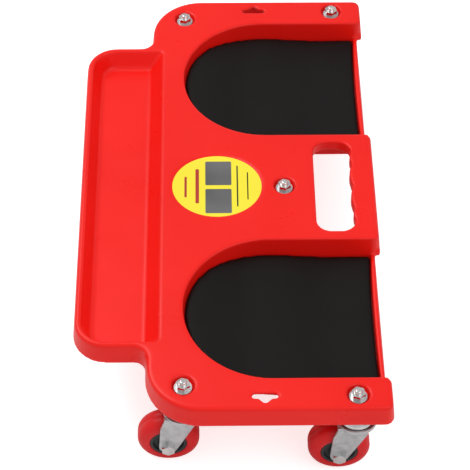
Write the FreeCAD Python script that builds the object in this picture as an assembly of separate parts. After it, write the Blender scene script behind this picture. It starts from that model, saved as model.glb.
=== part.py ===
import FreeCAD, Part
import math
import os

from FreeCAD import Rotation, Vector

# Rolling kneeling creeper. Millimetres. +X along the long side, +Y to the rear (hand slot),
# -Y to the front (tray), +Z up. The origin is on the floor under the middle of the footprint.

# ---- deck in plan ----
DECK_LENGTH = 475.0
DECK_WIDTH = 193.0
DECK_REAR_CORNER_R = 6.0
DECK_FRONT_CORNER_R = 44.0
TRAY_LENGTH = 348.0
TRAY_REACH = 59.3
TRAY_CORNER_R = 26.0
NECK_R = 12.0

# ---- deck in section ----
APRON_DEPTH = 20.5
APRON_FLARE = 2.2
WALL = 2.5
TOP_EDGE_R = 3.0

# ---- knee wells and pads ----
WELL_WIDTH = 145.0
WELL_SPACING = 268.0
WELL_FRONT_GAP = 28.2
WELL_DRAFT = 3.0
WELL_REAR_R = 6.0
LIP_THICKNESS = 3.2
LIP_SETBACK = 2.2
LIP_BELOW_DECK = 16.0
PAD_DEPTH_FRONT = 8.0
PAD_DEPTH_MIDDLE = 15.0
PAD_DEPTH_REAR = 18.0
PAD_THICKNESS = 7.0
PAD_SIDE_GAP = 0.6
PAD_SEAT_GAP = 0.1

# ---- tray ----
TRAY_RIM = 4.5
TRAY_DEPTH = 16.0
TRAY_DRAFT = 7.0
TRAY_REAR_DRAFT = 12.0
TRAY_BACK_INSET = 9.3
TRAY_BACK_CORNER_R = 3.0
TRAY_FLOOR_R = 4.0

# ---- hand slot ----
SLOT_LENGTH = 104.0
SLOT_WIDTH = 33.0
SLOT_REAR_GAP = 18.6
SLOT_CORNER_R = 12.0
SLOT_WALL_DEPTH = 11.0
FINGER_COUNT = 4
FINGER_PITCH = 25.8
FINGER_RISE = 2.2

# ---- hang slots ----
HANG_INSET = 13.3
HANG_Y = 26.1
HANG_BAR_LENGTH = 20.7
HANG_BAR_WIDTH = 4.4
HANG_TIP = 5.0
HANG_TIP_BASE = 10.0

# ---- label ----
LABEL_LENGTH_Y = 77.0
LABEL_LENGTH_X = 71.0
LABEL_Y = -9.8
LABEL_THICKNESS = 0.3
LABEL_RECESS_DEPTH = 0.9
LABEL_RECESS_MARGIN = 1.6

# ---- caster places ----
REAR_CASTER_INSET_X = 14.3
REAR_CASTER_INSET_Y = 27.0
FRONT_CASTER_INSET_X = 24.1
FRONT_CASTER_INSET_Y = 28.6
CENTRE_CASTER_INSET_Y = 77.9

# ---- caster ----
WHEEL_DIAMETER = 50.0
TYRE_WIDTH = 21.0
TYRE_SHOULDER_R = 7.5
HUB_DIAMETER = 30.0
HUB_WIDTH = 22.0
HUB_BOSS_DIAMETER = 15.0
HUB_WEB_WIDTH = 14.0
HUB_RIM_WALL = 3.0
TRAIL = 12.5
CROWN_TO_AXLE = 35.0
FORK_INSIDE = 24.0
FORK_SHEET = 2.0
FORK_BEND_R = 3.0
CROWN_DIAMETER = 34.0
CROWN_RIM_WALL = 1.3
CROWN_RIM_HEIGHT = 1.6
AXLE_DIAMETER = 6.0
AXLE_CLEARANCE = 0.1
AXLE_HEAD_ACROSS = 10.0
AXLE_HEAD_HEIGHT = 4.0
AXLE_NUT_HEIGHT = 5.0
AXLE_TAIL = 1.5
SLEEVE_DIAMETER = 9.0
HUB_RUNNING_GAP = 0.06
CUP_DIAMETER = 30.0
CUP_TOP_DIAMETER = 18.0
CUP_HEIGHT = 7.4
CUP_SHEET = 1.2
CUP_OVER_CROWN = 1.1
BALL_DIAMETER = 3.4
BALL_CIRCLE_R = 9.0
BALL_COUNT = 12
BALL_SEAT_GAP = 0.1

# ---- kingpin, nut and washer ----
STEM_DIAMETER = 6.0
STEM_HOLE_CLEARANCE = 0.2
STEM_ABOVE_DECK = 5.0
PIN_DIAMETER = 7.0
PIN_RUNNING_GAP = 0.06
PIN_HEAD_DIAMETER = 11.0
PIN_HEAD_HEIGHT = 1.6
PIN_HEAD_GAP = 0.3
COUNTERBORE_DIAMETER = 17.8
COUNTERBORE_DEPTH = 4.6
BOSS_WALL = 2.0
BOSS_BELOW_DECK = 21.5
WASHER_DIAMETER = 14.4
WASHER_THICKNESS = 1.6
NUT_ACROSS = 10.0
NUT_HEIGHT = 5.0
NUT_CHAMFER = 0.8

# ---- ribs under the deck ----
RIB_THICKNESS = 2.0
RIB_DEPTH = 12.0

# ---- derived places ----
BIG = 400.0
TINY = 0.01
HALF_LENGTH = DECK_LENGTH / 2
REAR_Y = (DECK_WIDTH + TRAY_REACH) / 2
FRONT_Y = REAR_Y - DECK_WIDTH
TRAY_Y = FRONT_Y - TRAY_REACH
HALF_TRAY = TRAY_LENGTH / 2
AXLE_Z = WHEEL_DIAMETER / 2
CROWN_Z = AXLE_Z + CROWN_TO_AXLE
BOSS_Z = CROWN_Z + CUP_OVER_CROWN + CUP_HEIGHT
DECK_Z = BOSS_Z + BOSS_BELOW_DECK
APRON_Z = DECK_Z - APRON_DEPTH
LIP_Z = DECK_Z - LIP_BELOW_DECK
WELL_FRONT_Y = FRONT_Y + WELL_FRONT_GAP
WELL_BACK_Y = REAR_Y - LIP_SETBACK - LIP_THICKNESS
WELL_FLOOR_Z = DECK_Z - PAD_DEPTH_REAR - PAD_THICKNESS
SEAT_Z = DECK_Z - COUNTERBORE_DEPTH
NUT_Z = SEAT_Z + WASHER_THICKNESS
BOSS_RADIUS = COUNTERBORE_DIAMETER / 2 + BOSS_WALL
UNDER_Z = DECK_Z - TOP_EDGE_R

CASTERS = {
    "front_left": (-(HALF_LENGTH - FRONT_CASTER_INSET_X), FRONT_Y + FRONT_CASTER_INSET_Y),
    "front_right": (HALF_LENGTH - FRONT_CASTER_INSET_X, FRONT_Y + FRONT_CASTER_INSET_Y),
    "rear_left": (-(HALF_LENGTH - REAR_CASTER_INSET_X), REAR_Y - REAR_CASTER_INSET_Y),
    "rear_right": (HALF_LENGTH - REAR_CASTER_INSET_X, REAR_Y - REAR_CASTER_INSET_Y),
    "centre": (0.0, REAR_Y - CENTRE_CASTER_INSET_Y),
}


# ---- helpers ----
def rounded_wire(corners, z):
    """A closed wire at height z through (x, y, radius) corners, each rounded with a tangent arc."""
    edges = []
    ends = []
    count = len(corners)
    for i, (x, y, radius) in enumerate(corners):
        here = Vector(x, y, z)
        before = Vector(*corners[i - 1][:2], z)
        after = Vector(*corners[(i + 1) % count][:2], z)
        to_before = (before - here).normalize()
        to_after = (after - here).normalize()
        if radius <= 0:
            ends.append((here, here, None))
            continue
        half = to_before.getAngle(to_after) / 2
        cut = radius / math.tan(half)
        inward = (to_before + to_after).normalize()
        middle = here + inward * (radius / math.sin(half) - radius)
        ends.append((here + to_before * cut, here + to_after * cut, middle))
    for i, (start, end, middle) in enumerate(ends):
        if middle is not None:
            edges.append(Part.Arc(start, middle, end).toShape())
        following = ends[(i + 1) % count][0]
        if end.distanceToPoint(following) > 1e-6:
            edges.append(Part.LineSegment(end, following).toShape())
    return Part.Wire(edges)


def prism(corners, z_low, z_high):
    """A straight solid over a rounded outline."""
    return Part.Face(rounded_wire(corners, z_low)).extrude(Vector(0, 0, z_high - z_low))


def tapered(corners_high, z_high, corners_low, z_low):
    """A solid between two outlines that have the same corners."""
    return Part.makeLoft([rounded_wire(corners_high, z_high), rounded_wire(corners_low, z_low)], True, True)


def tube(x, y, z_low, z_high, radius):
    """An upright cylinder."""
    return Part.makeCylinder(radius, z_high - z_low, Vector(x, y, z_low))


def across(y, z, x_low, x_high, radius):
    """A cylinder that lies along X."""
    return Part.makeCylinder(radius, x_high - x_low, Vector(x_low, y, z), Vector(1, 0, 0))


def revolve(points, origin, axis):
    """Turns a closed run of points about an axis."""
    wire = Part.makePolygon(points + [points[0]])
    return Part.Face(wire).revolve(origin, axis, 360)


def hexagon(across_flats, height, centre, axis, turn=0.0):
    """A hexagonal prism on an axis, with its corners chamfered on the outer end."""
    corner = across_flats / math.sqrt(3)
    angles = [math.radians(60 * k + turn) for k in range(6)]
    ring = [Vector(corner * math.cos(angle), corner * math.sin(angle), 0) for angle in angles]
    body = Part.Face(Part.makePolygon(ring + [ring[0]])).extrude(Vector(0, 0, height))
    cone_height = height + NUT_CHAMFER
    flat = across_flats / 2
    crown = Part.makeCone(flat + (height - NUT_CHAMFER / 2) * math.sqrt(3), flat - NUT_CHAMFER, cone_height)
    body = body.common(crown)
    body.Placement = FreeCAD.Placement(centre, Rotation(Vector(0, 0, 1), axis))
    return body


def mirrored_pair(shape):
    """A shape and its copy mirrored across the YZ plane."""
    return [shape, shape.mirror(Vector(0, 0, 0), Vector(1, 0, 0))]


def export(name, shape):
    """Writes one named piece."""
    clean = shape.removeSplitter()
    clean.exportStep(f"parts/{name}.step")
    print(f"{name:24s} solids {len(clean.Solids):2d} volume {clean.Volume:12.2f} valid {clean.isValid()}")


# ---- deck ----
def deck_outline(grow):
    """The deck and tray in plan, moved outward by grow."""
    end = HALF_LENGTH + grow
    tray_end = HALF_TRAY + grow
    back = REAR_Y + grow
    front = FRONT_Y - grow
    tray = TRAY_Y - grow
    return [
        (end, back, DECK_REAR_CORNER_R + grow),
        (-end, back, DECK_REAR_CORNER_R + grow),
        (-end, front, DECK_FRONT_CORNER_R + grow),
        (-tray_end, front, NECK_R - grow),
        (-tray_end, tray, TRAY_CORNER_R + grow),
        (tray_end, tray, TRAY_CORNER_R + grow),
        (tray_end, front, NECK_R - grow),
        (end, front, DECK_FRONT_CORNER_R + grow),
    ]


def well_outline(grow, back_grow):
    """A knee well in plan: a half round front and straight sides."""
    half = WELL_WIDTH / 2 + grow
    centre = WELL_SPACING / 2
    round_y = WELL_FRONT_Y + WELL_WIDTH / 2
    back = WELL_BACK_Y + back_grow
    rear_r = max(WELL_REAR_R + grow, 0)
    return centre, half, round_y, back, rear_r


def well_wire(grow, back_grow, z):
    """The well outline at height z."""
    centre, half, round_y, back, rear_r = well_outline(grow, back_grow)
    diagonal = rear_r * (1 - math.sqrt(0.5))
    right = centre + half
    left = centre - half
    line = Part.LineSegment
    edges = [
        Part.Arc(Vector(left, round_y, z), Vector(centre, round_y - half, z), Vector(right, round_y, z)),
        line(Vector(right, round_y, z), Vector(right, back - rear_r, z)),
        Part.Arc(
            Vector(right, back - rear_r, z),
            Vector(right - diagonal, back - diagonal, z),
            Vector(right - rear_r, back, z),
        ),
        line(Vector(right - rear_r, back, z), Vector(left + rear_r, back, z)),
        Part.Arc(
            Vector(left + rear_r, back, z),
            Vector(left + diagonal, back - diagonal, z),
            Vector(left, back - rear_r, z),
        ),
        line(Vector(left, back - rear_r, z), Vector(left, round_y, z)),
    ]
    return Part.Wire([edge.toShape() for edge in edges])


def well_block(grow, z_low, back_grow=0.0):
    """The tapered block that a well cuts, from z_low up past the deck."""
    slope = WELL_DRAFT / (DECK_Z - WELL_FLOOR_Z)
    z_high = DECK_Z + WALL
    high = well_wire(grow + slope * WALL, back_grow, z_high)
    low = well_wire(grow - slope * (DECK_Z - z_low), back_grow, z_low)
    return Part.makeLoft([high, low], True, True)


def pad_surface_edges(drop):
    """The contour of the pad's top along Y at the well's middle, lowered by drop."""
    heights = [
        (WELL_FRONT_Y - WALL * 2, PAD_DEPTH_FRONT),
        (WELL_FRONT_Y + WELL_WIDTH * 0.1, PAD_DEPTH_FRONT + 0.5),
        (WELL_FRONT_Y + WELL_WIDTH * 0.32, PAD_DEPTH_MIDDLE - 0.8),
        (WELL_FRONT_Y + WELL_WIDTH * 0.55, PAD_DEPTH_MIDDLE + 0.8),
        (WELL_FRONT_Y + WELL_WIDTH * 0.75, PAD_DEPTH_REAR - 0.3),
        (WELL_BACK_Y, PAD_DEPTH_REAR),
        (REAR_Y + BIG / 10, PAD_DEPTH_REAR),
    ]
    points = [Vector(0, y, DECK_Z - depth - drop) for y, depth in heights]
    curve = Part.BSplineCurve()
    curve.interpolate(points[:-1], InitialTangent=Vector(0, 1, 0), FinalTangent=Vector(0, 1, 0))
    return curve.toShape(), points


def above_pad(drop):
    """Everything over the pad's top contour lowered by drop, as one solid."""
    curve, points = pad_surface_edges(drop)
    top = DECK_Z + BIG / 4
    rest = Part.makePolygon(
        [points[-2], points[-1], Vector(0, points[-1].y, top), Vector(0, points[0].y, top), points[0]]
    )
    face = Part.Face(Part.Wire([curve] + rest.Edges))
    return face.extrude(Vector(BIG, 0, 0))


def well_cut():
    """The hollow of one knee well, down to its contoured floor."""
    return well_block(0.0, WELL_FLOOR_Z - WALL).common(above_pad(PAD_THICKNESS))


def well_pan():
    """The outside of one knee well: walls, floor and the rear wall that ends in the lip."""
    pan = well_block(WALL, WELL_FLOOR_Z - 2 * WALL, LIP_THICKNESS)
    below_deck = Part.makeBox(BIG, 2 * BIG, BIG, Vector(0, -BIG, UNDER_Z - BIG))
    return pan.common(above_pad(PAD_THICKNESS + WALL)).common(below_deck)


def lip_profile():
    """The space over and behind the lip, as a section along Y swept across the well."""
    outer = REAR_Y - LIP_SETBACK
    radius = LIP_THICKNESS / 2
    flare = APRON_FLARE
    inner = Vector(0, outer - 2 * radius, LIP_Z - radius)
    crest = Vector(0, outer - radius, LIP_Z)
    shoulder = Vector(0, outer, LIP_Z - radius)
    arc = Part.Arc(inner, crest, shoulder).toShape()
    far = REAR_Y + BIG / 10
    foot = APRON_Z - WALL * 4
    rest = Part.makePolygon(
        [
            shoulder,
            Vector(0, outer + flare, foot),
            Vector(0, far, foot),
            Vector(0, far, DECK_Z + WALL),
            Vector(0, inner.y - 3 * WELL_REAR_R, DECK_Z + WALL),
            Vector(0, inner.y - 3 * WELL_REAR_R, inner.z),
            inner,
        ]
    )
    return Part.Face(Part.Wire([arc] + rest.Edges)).extrude(Vector(BIG, 0, 0))


def mouth_cut():
    """The opening at the rear of a well, down to the lip."""
    slope = WELL_DRAFT / (DECK_Z - WELL_FLOOR_Z)
    z_low = APRON_Z - WALL * 3
    z_high = DECK_Z + WALL
    start = WELL_BACK_Y - 2 * WELL_REAR_R
    far = REAR_Y + BIG / 20
    centre = WELL_SPACING / 2

    def corners(z):
        half = WELL_WIDTH / 2 - slope * (DECK_Z - z)
        return [
            (centre - half, start, 0),
            (centre + half, start, 0),
            (centre + half, far, 0),
            (centre - half, far, 0),
        ]

    return tapered(corners(z_high), z_high, corners(z_low), z_low).common(lip_profile())


def mouth_corners():
    """Side walls carried on to the rear face either side of a well's mouth."""
    reach = WELL_REAR_R + LIP_THICKNESS + 2 * WALL
    depth = WELL_DRAFT + WALL
    half = WELL_WIDTH / 2
    centre = WELL_SPACING / 2
    starts = (centre - half - WALL, centre + half - WELL_DRAFT)
    height = UNDER_Z - APRON_Z
    return [Part.makeBox(depth, reach, height, Vector(x, REAR_Y - reach, APRON_Z)) for x in starts]


def tray_outline(grow, back_grow):
    """The tray's hollow in plan."""
    end = HALF_TRAY - TRAY_RIM + grow
    front = TRAY_Y + TRAY_RIM - grow
    back = FRONT_Y + TRAY_BACK_INSET + back_grow
    front_r = TRAY_CORNER_R - TRAY_RIM + grow
    back_r = max(TRAY_BACK_CORNER_R + grow, 0.5)
    return [(end, back, back_r), (-end, back, back_r), (-end, front, front_r), (end, front, front_r)]


def tray_block(grow, z_low):
    """The tapered block of the tray's hollow."""
    share = (DECK_Z - z_low) / TRAY_DEPTH
    end_inset = TRAY_DRAFT * share
    back_inset = TRAY_REAR_DRAFT * share
    high = tray_outline(grow, grow)
    inset = tray_outline(grow - end_inset, grow - back_inset)
    back_line = FRONT_Y - TRAY_BACK_INSET * 2
    low = [(x, y, radius if y < back_line else TRAY_BACK_CORNER_R) for x, y, radius in inset]
    return tapered(high, DECK_Z, low, z_low)


def tray_cut():
    """The tray's hollow, with its floor edges rounded."""
    block = tray_block(0.0, DECK_Z - TRAY_DEPTH)
    floor_edges = [e for e in block.Edges if e.BoundBox.ZMax < DECK_Z - TRAY_DEPTH + TINY]
    return block.makeFillet(TRAY_FLOOR_R, floor_edges)


def slot_outline(grow):
    """The hand slot's wire in plan at z 0: rounded front corners and a scalloped rear edge."""
    half = SLOT_LENGTH / 2 + grow
    rear = REAR_Y - SLOT_REAR_GAP + grow
    front = rear - SLOT_WIDTH - 2 * grow
    r = SLOT_CORNER_R + grow
    d = r * (1 - math.sqrt(0.5))
    cusps = [(k - (FINGER_COUNT - 2) / 2) * FINGER_PITCH for k in range(FINGER_COUNT - 1)]
    stations = [-half + r] + [x for x in cusps if abs(x) < half - r] + [half - r]
    edges = [
        Part.Arc(Vector(-half, front + r, 0), Vector(-half + d, front + d, 0), Vector(-half + r, front, 0)),
        Part.LineSegment(Vector(-half + r, front, 0), Vector(half - r, front, 0)),
        Part.Arc(Vector(half - r, front, 0), Vector(half - d, front + d, 0), Vector(half, front + r, 0)),
        Part.LineSegment(Vector(half, front + r, 0), Vector(half, rear - r, 0)),
        Part.Arc(Vector(half, rear - r, 0), Vector(half - d, rear - d, 0), Vector(half - r, rear, 0)),
    ]
    for right, left in zip(reversed(stations[1:]), reversed(stations[:-1])):
        rise = FINGER_RISE * (right - left) / FINGER_PITCH
        crest = Vector((right + left) / 2, rear - rise, 0)
        edges.append(Part.Arc(Vector(right, rear, 0), crest, Vector(left, rear, 0)))
    edges.append(Part.Arc(Vector(-half + r, rear, 0), Vector(-half + d, rear - d, 0), Vector(-half, rear - r, 0)))
    edges.append(Part.LineSegment(Vector(-half, rear - r, 0), Vector(-half, front + r, 0)))
    return Part.Wire([edge.toShape() for edge in edges])


def slot_prism(grow, z_low, z_high):
    """The hand slot's outline as a straight solid."""
    wire = slot_outline(grow)
    wire.translate(Vector(0, 0, z_low))
    return Part.Face(wire).extrude(Vector(0, 0, z_high - z_low))


def hang_cut():
    """One hang slot: a bar with a pointed bump on its outer side."""
    x = HALF_LENGTH - HANG_INSET
    half = HANG_BAR_LENGTH / 2
    w = HANG_BAR_WIDTH / 2
    base = HANG_TIP_BASE / 2
    end_r = w * 0.9
    corners = [
        (x - w, HANG_Y - half, end_r),
        (x + w, HANG_Y - half, end_r),
        (x + w, HANG_Y - base, 1.0),
        (x + w + HANG_TIP, HANG_Y, 1.5),
        (x + w, HANG_Y + base, 1.0),
        (x + w, HANG_Y + half, end_r),
        (x - w, HANG_Y + half, end_r),
    ]
    return prism(corners, DECK_Z - 2 * WALL, DECK_Z + WALL)


def oval(length_x, length_y, z_low, z_high):
    """An upright oval solid centred on the label's place."""
    centre = Vector(0, LABEL_Y, z_low)
    along_y = length_y >= length_x
    major = Vector(0, length_y / 2, 0) if along_y else Vector(length_x / 2, 0, 0)
    minor = Vector(-length_x / 2, 0, 0) if along_y else Vector(0, length_y / 2, 0)
    ellipse = Part.Ellipse(centre + major, centre + minor, centre).toShape()
    return Part.Face(Part.Wire([ellipse])).extrude(Vector(0, 0, z_high - z_low))


def rib(x0, y0, x1, y1):
    """An upright rib between two points under the deck."""
    start = Vector(x0, y0, 0)
    run = Vector(x1 - x0, y1 - y0, 0)
    box = Part.makeBox(run.Length, RIB_THICKNESS, RIB_DEPTH, Vector(0, -RIB_THICKNESS / 2, UNDER_Z - RIB_DEPTH))
    box.Placement = FreeCAD.Placement(start, Rotation(Vector(1, 0, 0), run))
    return box


def ribs():
    """The ribs that tie the caster bosses to the walls."""
    front_y = CASTERS["front_right"][1]
    front_x = CASTERS["front_right"][0]
    rear_x, rear_y = CASTERS["rear_right"]
    centre_y = CASTERS["centre"][1]
    well_inner = (WELL_SPACING - WELL_WIDTH) / 2
    band_y = (FRONT_Y + TRAY_BACK_INSET + WELL_FRONT_Y) / 2
    sides = [
        rib(front_x, front_y, HALF_LENGTH, front_y),
        rib(front_x, front_y, front_x, FRONT_Y),
        rib(rear_x, rear_y, HALF_LENGTH, rear_y),
        rib(rear_x, rear_y, rear_x, REAR_Y),
        rib(0, centre_y, well_inner, centre_y),
        rib(0, band_y, front_x, front_y),
    ]
    both = [half for side in sides for half in mirrored_pair(side)]
    spine = rib(0, FRONT_Y + TRAY_BACK_INSET, 0, centre_y)
    return both + [spine]


def deck_shell():
    """The moulded platform, open underneath."""
    block = tapered(deck_outline(0.0), DECK_Z, deck_outline(APRON_FLARE), APRON_Z)
    rim = [e for e in block.Edges if e.BoundBox.ZMin > DECK_Z - TINY]
    block = block.makeFillet(TOP_EDGE_R, rim)

    hollow = tapered(deck_outline(-WALL), UNDER_Z, deck_outline(APRON_FLARE - WALL), APRON_Z - TINY)
    pans = mirrored_pair(well_pan())
    bosses = [tube(x, y, BOSS_Z, UNDER_Z, BOSS_RADIUS) for x, y in CASTERS.values()]
    slot_wall = slot_prism(WALL, DECK_Z - SLOT_WALL_DEPTH, UNDER_Z)
    tray_wall = tray_block(WALL, DECK_Z - TRAY_DEPTH - WALL)
    hollow_ribs = [piece.common(hollow) for piece in ribs()]
    inner = tapered(deck_outline(-WALL / 2), DECK_Z, deck_outline(APRON_FLARE - WALL / 2), APRON_Z)
    below_top = Part.makeBox(2 * BIG, 2 * BIG, UNDER_Z, Vector(-BIG, -BIG, 0))
    tray_wall = tray_wall.common(inner).common(below_top)
    corners = [half.common(inner) for corner in mouth_corners() for half in mirrored_pair(corner)]
    shell = block.cut(hollow)
    for piece in pans + corners + bosses + [slot_wall, tray_wall] + hollow_ribs:
        shell = shell.fuse(piece)

    cuts = mirrored_pair(well_cut()) + mirrored_pair(mouth_cut())
    cuts += [tray_cut(), slot_prism(0.0, DECK_Z - 2 * SLOT_WALL_DEPTH, DECK_Z + WALL)]
    cuts += mirrored_pair(hang_cut())
    recess_x = LABEL_LENGTH_X + 2 * LABEL_RECESS_MARGIN
    recess_y = LABEL_LENGTH_Y + 2 * LABEL_RECESS_MARGIN
    cuts.append(oval(recess_x, recess_y, DECK_Z - LABEL_RECESS_DEPTH, DECK_Z + WALL))
    for x, y in CASTERS.values():
        cuts.append(tube(x, y, SEAT_Z, DECK_Z + WALL, COUNTERBORE_DIAMETER / 2))
        cuts.append(tube(x, y, BOSS_Z - WALL, DECK_Z, STEM_DIAMETER / 2 + STEM_HOLE_CLEARANCE))
    for piece in cuts:
        shell = shell.cut(piece)
    return shell


def knee_pad():
    """One foam pad, lying on the contoured floor of its well."""
    seat = PAD_THICKNESS - PAD_SEAT_GAP
    inside = well_block(-PAD_SIDE_GAP, WELL_FLOOR_Z - WALL, -PAD_SIDE_GAP)
    return inside.common(above_pad(seat)).cut(above_pad(0.0))


def label():
    """The oval sticker in its recess."""
    low = DECK_Z - LABEL_RECESS_DEPTH
    return oval(LABEL_LENGTH_X, LABEL_LENGTH_Y, low, low + LABEL_THICKNESS)


# ---- caster pieces, each in place for a kingpin axis at (x, y) ----
def stem_washer(x, y):
    """Flat washer on the counterbore floor."""
    disc = tube(x, y, SEAT_Z, NUT_Z, WASHER_DIAMETER / 2)
    return disc.cut(tube(x, y, SEAT_Z, NUT_Z, STEM_DIAMETER / 2 + STEM_HOLE_CLEARANCE))


def stem_nut(x, y):
    """Hex nut on the washer."""
    nut = hexagon(NUT_ACROSS, NUT_HEIGHT, Vector(x, y, NUT_Z), Vector(0, 0, 1), 12.0)
    return nut.cut(tube(x, y, NUT_Z, NUT_Z + NUT_HEIGHT, STEM_DIAMETER / 2))


def kingpin(x, y):
    """Threaded stem above, plain swivel pin with a riveted head below."""
    cup_inside_z = BOSS_Z - CUP_SHEET
    head_top = CROWN_Z - FORK_SHEET - PIN_HEAD_GAP
    stem = tube(x, y, cup_inside_z, DECK_Z + STEM_ABOVE_DECK, STEM_DIAMETER / 2)
    tip_edge = [e for e in stem.Edges if e.BoundBox.ZMin > DECK_Z + STEM_ABOVE_DECK - TINY]
    stem = stem.makeFillet(STEM_DIAMETER / 4, tip_edge)
    pin = tube(x, y, head_top, cup_inside_z, PIN_DIAMETER / 2)
    head = tube(x, y, head_top - PIN_HEAD_HEIGHT, head_top, PIN_HEAD_DIAMETER / 2)
    collar = tube(x, y, CROWN_Z + PIN_HEAD_GAP, cup_inside_z, PIN_DIAMETER / 2 + CUP_SHEET)
    return stem.fuse([pin, head, collar])


def top_cup(x, y):
    """Domed raceway: a pressed cup, mouth down, clamped under the boss."""
    rim_r = CUP_DIAMETER / 2
    flat_r = CUP_TOP_DIAMETER / 2
    hole_r = STEM_DIAMETER / 2 + STEM_HOLE_CLEARANCE
    low = BOSS_Z - CUP_HEIGHT
    bulge = 0.735

    def shell(r_rim, r_flat, z_top, z_low, r_hole):
        middle = Vector(r_flat + (r_rim - r_flat) * bulge, 0, z_low + (z_top - z_low) * bulge)
        arc = Part.Arc(Vector(r_flat, 0, z_top), middle, Vector(r_rim, 0, z_low)).toShape()
        rest = Part.makePolygon(
            [Vector(r_rim, 0, z_low), Vector(r_hole, 0, z_low), Vector(r_hole, 0, z_top), Vector(r_flat, 0, z_top)]
        )
        return Part.Face(Part.Wire([arc] + rest.Edges)).revolve(Vector(0, 0, 0), Vector(0, 0, 1), 360)

    outer = shell(rim_r, flat_r, BOSS_Z, low, hole_r)
    inner = shell(rim_r - CUP_SHEET, flat_r, BOSS_Z - CUP_SHEET, low, hole_r)
    cup = outer.cut(inner)
    cup.translate(Vector(x, y, 0))
    return cup


def swivel_balls(x, y):
    """The ball race that the fork's crown turns on."""
    z = CROWN_Z + BALL_DIAMETER / 2 + BALL_SEAT_GAP
    balls = []
    for k in range(BALL_COUNT):
        turn = 2 * math.pi * k / BALL_COUNT
        centre = Vector(x + BALL_CIRCLE_R * math.cos(turn), y + BALL_CIRCLE_R * math.sin(turn), z)
        balls.append(Part.makeSphere(BALL_DIAMETER / 2, centre))
    return Part.makeCompound(balls)


def fork_section():
    """The fork as an inverted channel, seen along Y and drawn out along it."""
    outer = FORK_INSIDE / 2 + FORK_SHEET
    inner = FORK_INSIDE / 2
    top = CROWN_TO_AXLE
    foot = -CROWN_TO_AXLE
    bend_in = max(FORK_BEND_R - FORK_SHEET, 0.3)
    profile = [
        (outer, top, FORK_BEND_R),
        (-outer, top, FORK_BEND_R),
        (-outer, foot, 0),
        (-inner, foot, 0),
        (-inner, top - FORK_SHEET, bend_in),
        (inner, top - FORK_SHEET, bend_in),
        (inner, foot, 0),
        (outer, foot, 0),
    ]
    channel = prism(profile, -BIG / 4, BIG / 4)
    channel.rotate(Vector(0, 0, 0), Vector(1, 0, 0), 90)
    return channel


def fork_side():
    """The side outline of the fork's legs, drawn out along X; the axle is at the origin."""
    eye_r = AXLE_DIAMETER / 2 + 4.4
    top = CROWN_TO_AXLE
    heel_y = TRAIL + CROWN_DIAMETER / 2 - 8.5
    heel = Vector(0, heel_y, top - 6.0)
    reach = math.hypot(heel.y, heel.z)
    turn = math.atan2(heel.z, heel.y) - math.acos(eye_r / reach)
    low = Vector(0, eye_r * math.cos(turn), eye_r * math.sin(turn))
    front_low = Vector(0, -eye_r, 0)
    middle_turn = (turn - math.pi) / 2
    arc = Part.Arc(
        front_low, Vector(0, eye_r * math.cos(middle_turn), eye_r * math.sin(middle_turn)), low
    ).toShape()
    rest = Part.makePolygon(
        [
            low,
            heel,
            Vector(0, heel_y + 1.0, top + 1.0),
            Vector(0, TRAIL - CROWN_DIAMETER / 2 + 2.0, top + 1.0),
            Vector(0, TRAIL - CROWN_DIAMETER / 2 + 2.0, top - 1.0),
            Vector(0, -eye_r + 1.4, top - 11.5),
            front_low,
        ]
    )
    side = Part.Face(Part.Wire([arc] + rest.Edges)).extrude(Vector(BIG / 4, 0, 0))
    side.translate(Vector(-BIG / 8, 0, 0))
    return side


def fork(x, y):
    """The pressed fork: crown disc with an upturned rim, and two legs down to the axle."""
    crown_r = CROWN_DIAMETER / 2
    axle_y = y - TRAIL
    legs = fork_section().common(fork_side())
    legs.translate(Vector(x, axle_y, AXLE_Z))
    disc = tube(x, y, CROWN_Z - FORK_SHEET, CROWN_Z, crown_r)
    rim = tube(x, y, CROWN_Z - FORK_SHEET, CROWN_Z + CROWN_RIM_HEIGHT, crown_r)
    rim = rim.cut(tube(x, y, CROWN_Z - FORK_SHEET, CROWN_Z + CROWN_RIM_HEIGHT, crown_r - CROWN_RIM_WALL))
    body = legs.fuse([disc, rim])
    pin_hole = tube(x, y, CROWN_Z - 2 * FORK_SHEET, CROWN_Z + 1.0, PIN_DIAMETER / 2 + PIN_RUNNING_GAP)
    outside = FORK_INSIDE / 2 + FORK_SHEET
    axle_hole = across(axle_y, AXLE_Z, x - outside, x + outside, AXLE_DIAMETER / 2 + AXLE_CLEARANCE)
    return body.cut([pin_hole, axle_hole])


def axle_bolt(x, y):
    """Hex bolt through both legs, with its head on the outer (+X) side."""
    axle_y = y - TRAIL
    outside = FORK_INSIDE / 2 + FORK_SHEET
    head = hexagon(AXLE_HEAD_ACROSS, AXLE_HEAD_HEIGHT, Vector(x + outside, axle_y, AXLE_Z), Vector(1, 0, 0))
    tail = x - outside - AXLE_NUT_HEIGHT - AXLE_TAIL
    return head.fuse(across(axle_y, AXLE_Z, tail, x + outside, AXLE_DIAMETER / 2))


def axle_nut(x, y):
    """Lock nut on the inner end of the axle bolt."""
    axle_y = y - TRAIL
    face = x - FORK_INSIDE / 2 - FORK_SHEET
    nut = hexagon(AXLE_HEAD_ACROSS, AXLE_NUT_HEIGHT, Vector(face, axle_y, AXLE_Z), Vector(-1, 0, 0))
    return nut.cut(across(axle_y, AXLE_Z, face - AXLE_NUT_HEIGHT, face, AXLE_DIAMETER / 2))


def axle_sleeve(x, y):
    """Steel tube between the legs, that the hub runs on."""
    half = FORK_INSIDE / 2
    axle_y = y - TRAIL
    sleeve = across(axle_y, AXLE_Z, x - half, x + half, SLEEVE_DIAMETER / 2)
    return sleeve.cut(across(axle_y, AXLE_Z, x - half, x + half, AXLE_DIAMETER / 2 + AXLE_CLEARANCE))


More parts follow.
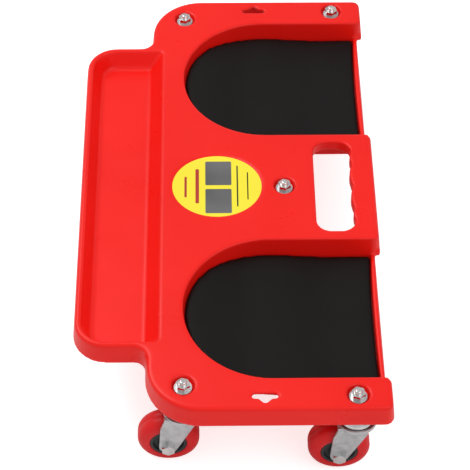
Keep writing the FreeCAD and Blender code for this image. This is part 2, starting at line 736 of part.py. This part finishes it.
def ring_profile(pairs, x, axle_y):
    """Turns (offset along the axle, radius) pairs about the axle."""
    points = [Vector(x + along, axle_y, AXLE_Z + radius) for along, radius in pairs]
    return revolve(points, Vector(x, axle_y, AXLE_Z), Vector(1, 0, 0))


def hub(x, y):
    """Moulded hub: a boss on the sleeve, a web and a rim under the tyre."""
    bore = SLEEVE_DIAMETER / 2 + HUB_RUNNING_GAP
    boss = HUB_BOSS_DIAMETER / 2
    rim = HUB_DIAMETER / 2
    inner_rim = rim - HUB_RIM_WALL
    w = HUB_WIDTH / 2
    web = HUB_WEB_WIDTH / 2
    edge = TYRE_WIDTH / 2
    pairs = [
        (-w, bore), (w, bore), (w, boss), (web, boss), (web, inner_rim), (edge, inner_rim), (edge, rim),
        (-edge, rim), (-edge, inner_rim), (-web, inner_rim), (-web, boss), (-w, boss),
    ]
    return ring_profile(pairs, x, y - TRAIL)


def tyre(x, y):
    """Wheel tread with broad rounded shoulders, moulded round the hub."""
    inner = HUB_DIAMETER / 2
    outer = WHEEL_DIAMETER / 2
    half = TYRE_WIDTH / 2
    r = TYRE_SHOULDER_R
    d = r * (1 - math.sqrt(0.5))
    axle_y = y - TRAIL

    def at(along, radius):
        return Vector(x + along, axle_y, AXLE_Z + radius)

    edges = [
        Part.LineSegment(at(-half, inner), at(half, inner)),
        Part.LineSegment(at(half, inner), at(half, outer - r)),
        Part.Arc(at(half, outer - r), at(half - d, outer - d), at(half - r, outer)),
        Part.LineSegment(at(half - r, outer), at(-half + r, outer)),
        Part.Arc(at(-half + r, outer), at(-half + d, outer - d), at(-half, outer - r)),
        Part.LineSegment(at(-half, outer - r), at(-half, inner)),
    ]
    face = Part.Face(Part.Wire([edge.toShape() for edge in edges]))
    return face.revolve(Vector(x, axle_y, AXLE_Z), Vector(1, 0, 0), 360)


CASTER_PIECES = {
    "stem_nut": stem_nut,
    "stem_washer": stem_washer,
    "kingpin": kingpin,
    "top_cup": top_cup,
    "swivel_balls": swivel_balls,
    "fork": fork,
    "axle_bolt": axle_bolt,
    "axle_nut": axle_nut,
    "axle_sleeve": axle_sleeve,
    "hub": hub,
    "tyre": tyre,
}

os.makedirs("parts", exist_ok=True)
export("deck_shell", deck_shell())
right_pad, left_pad = mirrored_pair(knee_pad())
export("knee_pad_right", right_pad)
export("knee_pad_left", left_pad)
export("label", label())
for corner, (corner_x, corner_y) in CASTERS.items():
    for piece_name, make in CASTER_PIECES.items():
        export(f"{corner}_{piece_name}", make(corner_x, corner_y))
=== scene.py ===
import math

import bmesh
import bpy
import numpy as np
from mathutils import Matrix, Vector


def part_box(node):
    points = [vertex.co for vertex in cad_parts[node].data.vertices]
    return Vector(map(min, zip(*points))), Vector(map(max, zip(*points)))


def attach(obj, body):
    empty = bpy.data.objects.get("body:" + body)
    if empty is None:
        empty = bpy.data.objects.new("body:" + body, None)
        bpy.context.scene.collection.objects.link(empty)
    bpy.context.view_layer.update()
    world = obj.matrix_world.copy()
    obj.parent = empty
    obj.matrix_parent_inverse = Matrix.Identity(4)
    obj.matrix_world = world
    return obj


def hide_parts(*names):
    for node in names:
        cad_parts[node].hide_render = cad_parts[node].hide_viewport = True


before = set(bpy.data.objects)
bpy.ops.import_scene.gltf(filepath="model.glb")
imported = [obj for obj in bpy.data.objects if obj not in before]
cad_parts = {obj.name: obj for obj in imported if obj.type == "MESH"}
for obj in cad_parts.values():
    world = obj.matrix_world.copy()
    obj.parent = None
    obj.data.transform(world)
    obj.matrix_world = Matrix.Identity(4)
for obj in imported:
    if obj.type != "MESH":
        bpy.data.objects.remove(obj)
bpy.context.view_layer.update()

MM = 0.001
CASTERS = ("front_left", "front_right", "rear_left", "rear_right", "centre")
SHELL_VOXEL = 1.1 * MM
PAD_VOXEL = 1.6 * MM
LIP_BOW = 2.8 * MM
LIP_DEPTH = 3.0 * MM
WELL_MARGIN = 2.4 * MM
MOUTH_CORNER_R = 5.0 * MM
MOUTH_DEPTH = 15.5 * MM
MOUTH_SETBACK = 2.2 * MM
PAD_ROLL = 7 * MM
PAD_ROLL_DROP = 1.1 * MM
PAD_REAR_EASE = 20 * MM
SHEET_THICKNESS = 0.28 * MM
PRINT_THICKNESS = 0.05 * MM
PLASTIC_SPECULAR = 0.28
FLOOR_GLOW = 0.66
FLOOR_REACH = 6.0
ROUND_STEPS = 96

# Places read from the CAD nodes.
shell_hi = np.array(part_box("deck_shell")[1])
pad_lo, pad_hi = (np.array(corner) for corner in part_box("knee_pad_right"))
label_lo, label_hi = (np.array(corner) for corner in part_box("label"))
stem_tip_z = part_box("centre_kingpin")[1][2]
DECK_Z = shell_hi[2]
WELL_X = (pad_lo[0] + pad_hi[0]) / 2
WELL_HALF = (pad_hi[0] - pad_lo[0]) / 2


# ---- small helpers ----
def new_piece(name, mesh, body, material, smooth=True):
    """A mesh object that rides on a body and takes a material."""
    piece = bpy.data.objects.new(name, mesh)
    bpy.context.scene.collection.objects.link(piece)
    mesh.materials.clear()
    mesh.materials.append(material)
    if smooth:
        mesh.polygons.foreach_set("use_smooth", [True] * len(mesh.polygons))
    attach(piece, body)
    return piece


def evaluated_copy(source, modifiers):
    """A new mesh: the source mesh after a stack of (type, settings) modifiers."""
    work = bpy.data.objects.new("work", source.copy())
    bpy.context.scene.collection.objects.link(work)
    for kind, settings in modifiers:
        modifier = work.modifiers.new(kind.lower(), kind)
        for key, value in settings.items():
            setattr(modifier, key, value)
    bpy.context.view_layer.update()
    graph = bpy.context.evaluated_depsgraph_get()
    mesh = bpy.data.meshes.new_from_object(work.evaluated_get(graph))
    bpy.data.objects.remove(work)
    return mesh


def vertices_of(mesh):
    """The mesh's vertices as an array of rows."""
    flat = np.empty(len(mesh.vertices) * 3)
    mesh.vertices.foreach_get("co", flat)
    return flat.reshape(-1, 3)


def set_vertices(mesh, points):
    """Writes an array of rows back as the mesh's vertices."""
    mesh.vertices.foreach_set("co", points.ravel())
    mesh.update()


def lathe(name, profile, centre, axis, steps=ROUND_STEPS):
    """A closed ring mesh: (along, radius) points turned about an axis ('X' or 'Z') at centre."""
    mesh = bpy.data.meshes.new(name)
    build = bmesh.new()
    rings = []
    for k in range(steps):
        turn = 2 * math.pi * k / steps
        ring = []
        for along, radius in profile:
            side, up = radius * math.cos(turn), radius * math.sin(turn)
            offset = Vector((along, side, up)) if axis == "X" else Vector((side, up, along))
            ring.append(build.verts.new(Vector(centre) + offset))
        rings.append(ring)
    count = len(profile)
    for k in range(steps):
        here, there = rings[k], rings[(k + 1) % steps]
        for i in range(count):
            j = (i + 1) % count
            build.faces.new((here[i], here[j], there[j], there[i]))
    bmesh.ops.recalc_face_normals(build, faces=build.faces)
    build.to_mesh(mesh)
    build.free()
    return mesh


def arc(centre_along, centre_radius, radius, start, end, steps=8):
    """Points of an arc in a lathe profile, from angle start to end in degrees."""
    points = []
    for k in range(steps + 1):
        angle = math.radians(start + (end - start) * k / steps)
        points.append((centre_along + radius * math.cos(angle), centre_radius + radius * math.sin(angle)))
    return points


# ---- materials ----
def material(name, base, roughness, metallic=0.0):
    """A new Principled material, as (material, nodes, links, shader)."""
    made = bpy.data.materials.new(name)
    made.use_nodes = True
    nodes, links = made.node_tree.nodes, made.node_tree.links
    shader = nodes["Principled BSDF"]
    shader.inputs["Base Color"].default_value = (*base, 1)
    shader.inputs["Roughness"].default_value = roughness
    shader.inputs["Metallic"].default_value = metallic
    return made, nodes, links, shader


def object_noise(nodes, links, scale, detail=3.0):
    """A noise texture in object space, scale in cells per metre."""
    place = nodes.new("ShaderNodeTexCoord")
    noise = nodes.new("ShaderNodeTexNoise")
    noise.inputs["Scale"].default_value = scale
    noise.inputs["Detail"].default_value = detail
    links.new(place.outputs["Object"], noise.inputs["Vector"])
    return noise


def vary_colour(nodes, links, shader, noise, low, high):
    """Base colour between two values, driven by a noise."""
    ramp = nodes.new("ShaderNodeValToRGB")
    ramp.color_ramp.elements[0].position = 0.35
    ramp.color_ramp.elements[1].position = 0.65
    ramp.color_ramp.elements[0].color = (*low, 1)
    ramp.color_ramp.elements[1].color = (*high, 1)
    links.new(noise.outputs["Fac"], ramp.inputs["Fac"])
    links.new(ramp.outputs["Color"], shader.inputs["Base Color"])


def vary_roughness(nodes, links, shader, noise, low, high):
    """Roughness between two values, driven by a noise."""
    span = nodes.new("ShaderNodeMapRange")
    span.inputs["From Min"].default_value = 0.3
    span.inputs["From Max"].default_value = 0.7
    span.inputs["To Min"].default_value = low
    span.inputs["To Max"].default_value = high
    links.new(noise.outputs["Fac"], span.inputs["Value"])
    links.new(span.outputs["Result"], shader.inputs["Roughness"])


def add_bump(nodes, links, shader, height, strength, distance, edge_radius=0.0):
    """Bump from a height output, over softened edges where edge_radius is set."""
    bump = nodes.new("ShaderNodeBump")
    bump.inputs["Strength"].default_value = strength
    bump.inputs["Distance"].default_value = distance
    links.new(height, bump.inputs["Height"])
    if edge_radius:
        edge = nodes.new("ShaderNodeBevel")
        edge.inputs["Radius"].default_value = edge_radius
        links.new(edge.outputs["Normal"], bump.inputs["Normal"])
    links.new(bump.outputs["Normal"], shader.inputs["Normal"])


def moulded_plastic(name, low, high, rough_low, rough_high, grain=900.0, strength=0.05):
    """Moulded plastic: slow colour drift, uneven gloss and a very fine grain."""
    made, nodes, links, shader = material(name, high, rough_low)
    slow = object_noise(nodes, links, 9.0)
    vary_colour(nodes, links, shader, slow, low, high)
    patches = object_noise(nodes, links, 30.0)
    vary_roughness(nodes, links, shader, patches, rough_low, rough_high)
    fine = object_noise(nodes, links, grain, 4.0)
    add_bump(nodes, links, shader, fine.outputs["Fac"], strength, 0.2 * MM)
    return made, shader


def foam():
    """Closed-cell foam: matte, near black, with fine cells."""
    made, nodes, links, shader = material("foam", (0.008, 0.007, 0.0065), 0.62)
    slow = object_noise(nodes, links, 22.0)
    vary_colour(nodes, links, shader, slow, (0.0040, 0.0034, 0.0031), (0.0062, 0.0054, 0.0050))
    vary_roughness(nodes, links, shader, slow, 0.52, 0.66)
    shader.inputs["Specular IOR Level"].default_value = 0.16
    fine = object_noise(nodes, links, 700.0, 5.0)
    add_bump(nodes, links, shader, fine.outputs["Fac"], 0.22, 0.35 * MM)
    return made


def metal(name, low, high, rough_low, rough_high, strength, edge=0.3 * MM):
    """Plated metal with slight patches, and softened edges."""
    made, nodes, links, shader = material(name, high, rough_low, 1.0)
    patches = object_noise(nodes, links, 160.0, 4.0)
    vary_colour(nodes, links, shader, patches, low, high)
    vary_roughness(nodes, links, shader, patches, rough_low, rough_high)
    fine = object_noise(nodes, links, 1400.0, 3.0)
    add_bump(nodes, links, shader, fine.outputs["Fac"], strength, 0.1 * MM, edge)
    return made


red, red_shader = moulded_plastic(
    "red_moulding", (0.88, 0.0085, 0.0045), (0.93, 0.0105, 0.006), 0.27, 0.36
)
wheel_red, wheel_shader = moulded_plastic(
    "wheel_red", (0.70, 0.006, 0.008), (0.78, 0.009, 0.011), 0.30, 0.42, 1200.0
)
hub_dark, _ = moulded_plastic(
    "hub_dark", (0.016, 0.021, 0.022), (0.026, 0.032, 0.033), 0.38, 0.55, 1200.0
)
yellow, _ = moulded_plastic(
    "label_yellow", (0.93, 0.78, 0.022), (0.97, 0.84, 0.035), 0.35, 0.45, 400.0, 0.02
)
panel_grey, _ = moulded_plastic(
    "label_grey", (0.045, 0.05, 0.055), (0.20, 0.19, 0.19), 0.35, 0.45, 60.0, 0.02
)
bar_red, _ = moulded_plastic(
    "label_red", (0.42, 0.02, 0.01), (0.52, 0.03, 0.015), 0.4, 0.5, 400.0, 0.02
)
bar_dark, _ = moulded_plastic(
    "label_dark", (0.03, 0.045, 0.02), (0.05, 0.07, 0.03), 0.4, 0.5, 400.0, 0.02
)
for shader_node in (red_shader, wheel_shader):
    shader_node.inputs["Specular IOR Level"].default_value = PLASTIC_SPECULAR
black_foam = foam()
zinc = metal("zinc_plate", (0.50, 0.51, 0.52), (0.66, 0.67, 0.68), 0.30, 0.46, 0.10)
chrome = metal("bright_plate", (0.62, 0.61, 0.60), (0.78, 0.77, 0.76), 0.04, 0.10, 0.02, edge=0.12 * MM)
steel = metal("plain_steel", (0.42, 0.42, 0.43), (0.55, 0.55, 0.56), 0.25, 0.40, 0.08)


# ---- deck ----
def round_mouth_corners(points, radius):
    """Rounds the upright corners where the wells open to the rear."""
    rear = shell_hi[1] - MOUTH_SETBACK
    reach_x = WELL_HALF + WELL_MARGIN
    for side in (-1, 1):
        for wall, outward in ((WELL_X - reach_x, -1), (WELL_X + reach_x, 1)):
            centre_x = side * (wall + outward * radius)
            dx = (centre_x - points[:, 0]) * outward * side
            dy = points[:, 1] - (rear - radius)
            reach = np.maximum(dx, dy)
            high = points[:, 2] > DECK_Z - MOUTH_DEPTH
            inside = (dx > 0) & (dy > 0) & (reach < radius * 1.35) & high
            scale = np.where(inside, reach / np.maximum(np.hypot(dx, dy), 1e-9), 1.0)
            points[:, 0] = np.where(inside, centre_x - dx * scale * outward * side, points[:, 0])
            points[:, 1] = np.where(inside, rear - radius + dy * scale, points[:, 1])
    return points


def lip_curve(x):
    """How far along the lip's bow a point is: 0 at the well's sides, 1 in the middle."""
    across = (np.abs(x) - WELL_X) / (WELL_HALF + WELL_MARGIN)
    return np.sqrt(np.clip(1 - across**2, 0, 1))


def curve_lips(points):
    """Bows the lips behind the pads and thickens them towards the middle."""
    outward = np.clip((points[:, 1] - pad_hi[1]) / LIP_DEPTH, 0, 1)
    near = np.clip((points[:, 1] - pad_hi[1] + 0.6 * MM) / (0.6 * MM), 0, 1)
    above = np.clip((points[:, 2] - pad_lo[2] - 2 * MM) / (2 * MM), 0, 1)
    points[:, 1] -= LIP_BOW * (1 - 0.6 * outward) * near * above * lip_curve(points[:, 0])
    return points


def deck():
    """The moulded platform, with every edge softened as a moulding is."""
    mesh = evaluated_copy(
        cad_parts["deck_shell"].data,
        [
            ("WELD", {"merge_threshold": 0.005 * MM}),
            ("REMESH", {"mode": "VOXEL", "voxel_size": SHELL_VOXEL, "adaptivity": 0.0}),
            ("SMOOTH", {"factor": 0.5, "iterations": 4}),
        ],
    )
    points = vertices_of(mesh)
    points = round_mouth_corners(points, MOUTH_CORNER_R)
    points = curve_lips(points)
    set_vertices(mesh, points)
    mesh = evaluated_copy(mesh, [("SMOOTH", {"factor": 0.5, "iterations": 3})])
    piece = new_piece("deck_moulding", mesh, "deck", red)
    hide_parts("deck_shell")


def pad(side):
    """A foam pad: the well's contour with a soft rolled edge and a bowed rear edge."""
    node = f"knee_pad_{side}"
    mesh = evaluated_copy(
        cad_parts[node].data,
        [
            ("REMESH", {"mode": "VOXEL", "voxel_size": PAD_VOXEL, "adaptivity": 0.0}),
            ("SMOOTH", {"factor": 0.5, "iterations": 5}),
        ],
    )
    points = vertices_of(mesh)
    lo, hi = (np.array(corner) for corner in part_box(node))
    centre_x = (lo[0] + hi[0]) / 2
    half = (hi[0] - lo[0]) / 2
    round_y = lo[1] + half
    dx = np.abs(points[:, 0] - centre_x)
    dy = np.maximum(round_y - points[:, 1], 0)
    edge = half - np.hypot(dx, dy)
    edge = np.minimum(edge, hi[1] - points[:, 1])
    roll = 1 - np.clip(edge / PAD_ROLL, 0, 1)
    height = points[:, 2] - lo[2]
    points[:, 2] -= PAD_ROLL_DROP * roll**3 * np.clip(height / PAD_ROLL, 0, 1)
    behind = np.clip((points[:, 1] - hi[1] + PAD_REAR_EASE) / PAD_REAR_EASE, 0, 1)
    points[:, 1] -= LIP_BOW * behind * lip_curve(points[:, 0])
    set_vertices(mesh, points)
    piece = new_piece(f"foam_pad_{side}", mesh, "deck", black_foam)
    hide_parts(node)


# ---- label ----
def flat_shape(name, outline, z_low, thickness):
    """A thin closed plate over an outline of (x, y) points."""
    mesh = bpy.data.meshes.new(name)
    build = bmesh.new()
    low = [build.verts.new((x, y, z_low)) for x, y in outline]
    high = [build.verts.new((x, y, z_low + thickness)) for x, y in outline]
    count = len(outline)
    build.faces.new(list(reversed(low)))
    build.faces.new(high)
    for i in range(count):
        j = (i + 1) % count
        build.faces.new((low[i], low[j], high[j], high[i]))
    bmesh.ops.recalc_face_normals(build, faces=build.faces)
    build.to_mesh(mesh)
    build.free()
    return mesh


def rounded_box_outline(x0, x1, y0, y1, radius, steps=5):
    """An outline of a rectangle with rounded corners."""
    points = []
    corners = ((x1, y1, 0), (x0, y1, 90), (x0, y0, 180), (x1, y0, 270))
    for x, y, start in corners:
        centre_x = x - radius if x == x1 else x + radius
        centre_y = y - radius if y == y1 else y + radius
        for k in range(steps + 1):
            angle = math.radians(start + 90 * k / steps)
            points.append((centre_x + radius * math.cos(angle), centre_y + radius * math.sin(angle)))
    return points


def printed_shape(name, corners_mm, radius, finish):
    """A thin rounded rectangle on the sticker, from (x0, x1, y0, y1) in mm about its middle."""
    middle_x, middle_y = (label_lo[:2] + label_hi[:2]) / 2
    x0, x1, y0, y1 = corners_mm
    outline = rounded_box_outline(
        middle_x + x0 * MM, middle_x + x1 * MM, middle_y + y0 * MM, middle_y + y1 * MM, radius
    )
    mesh = flat_shape(name, outline, label_lo[2] + SHEET_THICKNESS, PRINT_THICKNESS)
    new_piece(name, mesh, "deck", finish, smooth=False)


def label():
    """The oval sticker, with two plain panels and a few plain bars in place of any print."""
    middle_x, middle_y = (label_lo[:2] + label_hi[:2]) / 2
    half_x, half_y = (label_hi[:2] - label_lo[:2]) / 2
    turns = [2 * math.pi * k / ROUND_STEPS for k in range(ROUND_STEPS)]
    oval = [(middle_x + half_x * math.cos(t), middle_y + half_y * math.sin(t)) for t in turns]
    sheet_mesh = flat_shape("label_sheet", oval, label_lo[2], SHEET_THICKNESS)
    sheet = new_piece("label_sheet", sheet_mesh, "deck", yellow, smooth=False)
    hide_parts("label")
    panels = ((-29, -1, -10, 12.5), (3.5, 31.5, -10, 12.5))
    for index, corners in enumerate(panels):
        printed_shape(f"label_panel_{index}", corners, 1.2 * MM, panel_grey)
    bars = ((-11, 13, -28, -26), (-20, 20, -18.5, -15.5), (-24, 24, 17, 18.2), (-16, 16, 26, 27))
    for index, corners in enumerate(bars):
        printed_shape(f"label_bar_{index}", corners, 0.8 * MM, bar_red if index < 2 else bar_dark)


# ---- casters ----
def tread(caster, centre, half, outer, inner):
    """The tread of one wheel, with rounded shoulders, bead edges and a fine parting line."""
    shoulder = 7.5 * MM
    bead = 0.8 * MM
    profile = [(-half + bead, inner), (half - bead, inner)]
    profile += arc(half - bead, inner + bead, bead, -90, 0, 4)
    profile += arc(half - shoulder, outer - shoulder, shoulder, 0, 90, 12)
    groove = outer - 0.15 * MM
    profile += [(0.5 * MM, outer), (0.3 * MM, groove), (-0.3 * MM, groove), (-0.5 * MM, outer)]
    profile += arc(-half + shoulder, outer - shoulder, shoulder, 90, 180, 12)
    profile += arc(-half + bead, inner + bead, bead, 180, 270, 4)
    mesh = lathe("tread", profile, centre, "X")
    piece = new_piece(f"{caster}_tread", mesh, f"{caster}_wheel", wheel_red)
    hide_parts(f"{caster}_tyre")


def wheel_hub(caster, centre, half, inner):
    """The hub of one wheel: a boss, a recessed web and a rim."""
    bore = 4.6 * MM
    boss = 7.5 * MM
    width = 11.0 * MM
    web = 7.0 * MM
    rim = inner - 2.6 * MM
    soft = 0.6 * MM
    rim_half = half - 0.2 * MM
    right = [
        (width - soft, bore), (width, bore + soft), (width, boss - soft), (width - soft, boss),
        (web + soft, boss + soft), (web, boss + 2 * soft), (web, rim - soft), (web + soft, rim),
        (rim_half - soft, rim), (rim_half, rim + soft), (rim_half, inner - soft), (rim_half - soft, inner),
    ]
    left = [(-along, radius) for along, radius in reversed(right)]
    mesh = lathe("hub", right + left, centre, "X")
    piece = new_piece(f"{caster}_wheel_hub", mesh, f"{caster}_wheel", hub_dark)
    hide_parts(f"{caster}_hub")


def wheel(caster):
    """Tread and hub of one wheel, sized from the nodes that they stand for."""
    lo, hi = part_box(f"{caster}_tyre")
    hub_lo, hub_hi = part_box(f"{caster}_hub")
    centre = [(a + b) / 2 for a, b in zip(lo, hi)]
    half = (hi[0] - lo[0]) / 2
    inner = (hub_hi[2] - hub_lo[2]) / 2
    tread(caster, centre, half, (hi[2] - lo[2]) / 2, inner)
    wheel_hub(caster, centre, half, inner)


def stem_thread(caster):
    """Thread crests on the stud above the nut."""
    lo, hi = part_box(f"{caster}_kingpin")
    x, y = (lo[0] + hi[0]) / 2, (lo[1] + hi[1]) / 2
    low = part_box(f"{caster}_stem_nut")[1][2] - 0.4 * MM
    high = stem_tip_z - 1.3 * MM
    pitch = 0.9 * MM
    root = 3.02 * MM
    crest = 3.3 * MM
    profile = [(low, root - 0.3 * MM)]
    z = low
    while z + pitch < high:
        profile += [(z, root), (z + pitch / 2, crest)]
        z += pitch
    profile += [(z, root), (z, root - 0.3 * MM)]
    mesh = lathe("thread", profile, (x, y, 0), "Z", 48)
    new_piece(f"{caster}_stem_thread", mesh, "deck", chrome)


def finish_cad_nodes():
    """Better materials on the CAD nodes that stay visible."""
    finishes = {
        "stem_nut": chrome, "stem_washer": zinc, "kingpin": chrome, "top_cup": chrome,
        "swivel_balls": steel, "fork": zinc, "axle_bolt": chrome, "axle_nut": zinc, "axle_sleeve": steel,
    }
    for caster in CASTERS:
        for piece, finish in finishes.items():
            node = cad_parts[f"{caster}_{piece}"]
            for slot in node.material_slots:
                slot.material = finish


deck()
for pad_side in ("left", "right"):
    pad(pad_side)
label()
for caster_name in CASTERS:
    wheel(caster_name)
    stem_thread(caster_name)
finish_cad_nodes()


# ---- floor, light and camera ----
def stage_floor():
    """A plain white floor that keeps the soft shadow."""
    mesh = bpy.data.meshes.new("floor")
    corners = [(-1, -1), (1, -1), (1, 1), (-1, 1)]
    mesh.from_pydata([(x * FLOOR_REACH, y * FLOOR_REACH, 0) for x, y in corners], [], [(0, 1, 2, 3)])
    floor = bpy.data.objects.new("floor", mesh)
    bpy.context.scene.collection.objects.link(floor)
    made = bpy.data.materials.new("floor_white")
    made.use_nodes = True
    nodes, links = made.node_tree.nodes, made.node_tree.links
    nodes.clear()
    output = nodes.new("ShaderNodeOutputMaterial")
    diffuse = nodes.new("ShaderNodeBsdfDiffuse")
    diffuse.inputs["Color"].default_value = (0.82, 0.82, 0.82, 1)
    glow = nodes.new("ShaderNodeEmission")
    rays = nodes.new("ShaderNodeLightPath")
    strength = nodes.new("ShaderNodeMath")
    strength.operation = "MULTIPLY"
    strength.inputs[1].default_value = FLOOR_GLOW
    links.new(rays.outputs["Is Camera Ray"], strength.inputs[0])
    links.new(strength.outputs["Value"], glow.inputs["Strength"])
    add = nodes.new("ShaderNodeAddShader")
    links.new(diffuse.outputs["BSDF"], add.inputs[0])
    links.new(glow.outputs["Emission"], add.inputs[1])
    links.new(add.outputs["Shader"], output.inputs["Surface"])
    mesh.materials.append(made)


def area_light(name, place, target, size, power):
    """A soft square lamp aimed at a point."""
    data = bpy.data.lights.new(name, "AREA")
    data.energy = power
    data.size = size
    lamp = bpy.data.objects.new(name, data)
    bpy.context.scene.collection.objects.link(lamp)
    lamp.location = place
    lamp.rotation_euler = (Vector(target) - Vector(place)).to_track_quat("-Z", "Y").to_euler()


def studio():
    """White surroundings and two large soft lamps."""
    world = bpy.data.worlds.new("studio")
    bpy.context.scene.world = world
    world.use_nodes = True
    nodes, links = world.node_tree.nodes, world.node_tree.links
    nodes.clear()
    output = nodes.new("ShaderNodeOutputWorld")
    light = nodes.new("ShaderNodeBackground")
    light.inputs["Strength"].default_value = 0.62
    seen = nodes.new("ShaderNodeBackground")
    seen.inputs["Color"].default_value = (1, 1, 1, 1)
    light.inputs["Color"].default_value = (1, 1, 1, 1)
    rays = nodes.new("ShaderNodeLightPath")
    mix = nodes.new("ShaderNodeMixShader")
    links.new(rays.outputs["Is Camera Ray"], mix.inputs["Fac"])
    links.new(light.outputs["Background"], mix.inputs[1])
    links.new(seen.outputs["Background"], mix.inputs[2])
    links.new(mix.outputs["Shader"], output.inputs["Surface"])
    area_light("key", (-0.7, -0.9, 1.7), (0, 0, 0.05), 1.2, 16.0)
    area_light("fill", (0.9, 0.9, 1.5), (0, 0, 0.05), 1.4, 7.0)


def camera():
    """The camera stands off the right-hand end and looks down along the platform."""
    azimuth, elevation, roll = math.radians(-1.247), math.radians(48.633), math.radians(0.565)
    level = math.cos(elevation)
    forward = Vector((-level * math.cos(azimuth), -level * math.sin(azimuth), -math.sin(elevation)))
    right = forward.cross(Vector((0, 0, 1))).normalized()
    up = right.cross(forward)
    rolled_right = right * math.cos(roll) + up * math.sin(roll)
    rolled_up = up * math.cos(roll) - right * math.sin(roll)
    data = bpy.data.cameras.new("camera")
    data.lens = 142.05
    data.sensor_width = 36.0
    data.clip_end = 50.0
    view = bpy.data.objects.new("camera", data)
    bpy.context.scene.collection.objects.link(view)
    turn = Matrix((rolled_right, rolled_up, -forward)).transposed().to_4x4()
    view.matrix_world = Matrix.Translation(Vector((1.0873, -0.0175, 1.2604))) @ turn
    bpy.context.scene.camera = view


stage_floor()
studio()
camera()
bpy.context.scene.view_settings.view_transform = "Standard"
